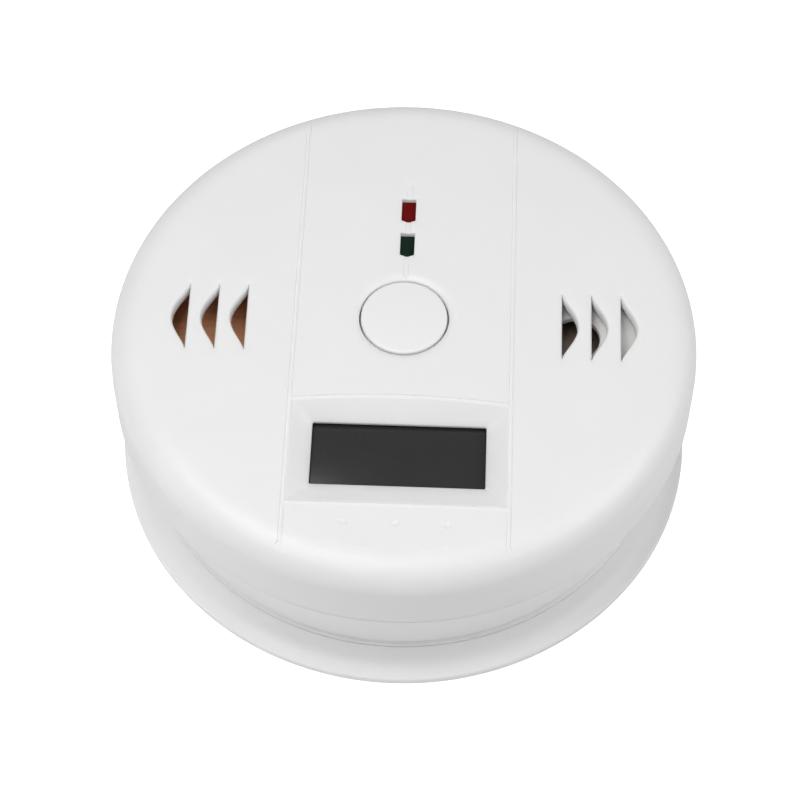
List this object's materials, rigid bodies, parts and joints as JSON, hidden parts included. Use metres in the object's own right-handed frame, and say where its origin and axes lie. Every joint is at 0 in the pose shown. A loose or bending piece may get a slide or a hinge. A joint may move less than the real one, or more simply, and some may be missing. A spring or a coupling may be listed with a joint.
{
  "type": "carbon monoxide detector",
  "caption": "Round white battery carbon monoxide alarm with a recessed display, lamp windows, vent slots and a press-to-test button, on a twist-on wall plate.",
  "frame": {"origin": "centre of the wall plate's back face", "axes": "+Z out of the alarm's face, away from the wall; +Y towards the lamp windows; +X to the right as the face is read"},
  "size_m": [0.1006, 0.1006, 0.0357],
  "materials": {
    "plate_plastic": "white moulded plastic, fine satin texture",
    "housing_plastic": "white moulded plastic, fine satin texture",
    "cover_plastic": "white moulded plastic, fine satin texture",
    "button_plastic": "white moulded plastic, fine satin texture",
    "switch_black": "black moulded plastic",
    "plated_steel": "bright plated steel",
    "tinned_metal": "tinned lead wire",
    "lcd_glass": "dark grey display behind a glossy polariser",
    "holder_plastic": "off-white moulded plastic",
    "contact_rubber": "pink and black layered contact rubber",
    "red_lens": "red tinted lamp resin, unlit",
    "green_lens": "green tinted lamp resin, unlit",
    "phenolic_board": "brown phenolic paper laminate",
    "screw_steel": "zinc-plated steel",
    "buzzer_plastic": "white moulded plastic",
    "brass_disc": "spun brass disc",
    "ceramic": "fired silver on ceramic",
    "gold_contact": "gold-plated contact",
    "gauze_steel": "woven steel gauze",
    "base_resin": "brown phenolic resin",
    "chip_resin": "black epoxy, matt",
    "ferrite": "sintered ferrite",
    "copper_wire": "enamelled copper wire",
    "capacitor_sleeve": "dark blue shrink sleeve",
    "capacitor_resin": "orange-brown dipped resin",
    "resistor_coat": "beige lacquer with colour bands",
    "trimmer_blue": "blue moulded plastic",
    "cell_jacket": "plain two-tone cell jacket with no print",
    "spring_wire": "nickel-plated spring wire",
    "contact_plate": "nickel-plated spring steel",
    "red_insulation": "red insulation",
    "black_insulation": "black insulation",
    "solder": "soldered joint"
  },
  "bodies": {
    "wall_plate": {"mounting_plate": "plate_plastic"},
    "case": {"back_housing": "housing_plastic", "front_cover": "cover_plastic", "switch_body": "switch_black", "switch_frame": "plated_steel", "switch_legs": "tinned_metal", "lcd_glass": "lcd_glass", "lcd_holder": "holder_plastic", "lcd_contact_strips": "contact_rubber", "red_led": "red_lens", "green_led": "green_lens", "led_leads": "tinned_metal", "circuit_board": "phenolic_board", "board_screws": "screw_steel", "housing_screws": "screw_steel", "buzzer_cup": "buzzer_plastic", "piezo_disc": "brass_disc", "piezo_ceramic": "ceramic", "piezo_contacts": "gold_contact", "sensor_can": "plated_steel", "sensor_gauze": "gauze_steel", "sensor_base": "base_resin", "sensor_pins": "tinned_metal", "controller_chip": "chip_resin", "controller_pins": "tinned_metal", "amplifier_chip": "chip_resin", "amplifier_pins": "tinned_metal", "crystal_can": "plated_steel", "sounder_coil": "ferrite", "sounder_winding": "copper_wire", "transistors": "chip_resin", "electrolytic_capacitors": "capacitor_sleeve", "ceramic_capacitors": "capacitor_resin", "resistors": "resistor_coat", "component_leads": "tinned_metal", "trimmer": "trimmer_blue", "battery_1": "cell_jacket", "battery_2": "cell_jacket", "battery_3": "cell_jacket", "battery_springs": "spring_wire", "battery_contacts": "contact_plate", "red_wire": "red_insulation", "black_wire": "black_insulation", "solder_joints": "solder"},
    "button": {"test_button": "button_plastic"},
    "plunger": {"switch_plunger": "switch_black"}
  },
  "joints": [
    {"name": "case_twist", "type": "hinge", "parent": "wall_plate", "child": "case", "pos_m": [0, 0, 0], "axis": [0, 0, 1], "range_deg": [0, 18]},
    {"name": "button_press", "type": "slide", "parent": "case", "child": "button", "axis": [0, 0, -1], "range_m": [0, 0.0005], "stiffness_N_per_m": 1500},
    {"name": "plunger_press", "type": "slide", "parent": "case", "child": "plunger", "axis": [0, 0, -1], "range_m": [0, 0.0003]}
  ],
  "couplings": [
    {"joint": "plunger_press", "follows": "button_press", "ratio": 0.6}
  ]
}
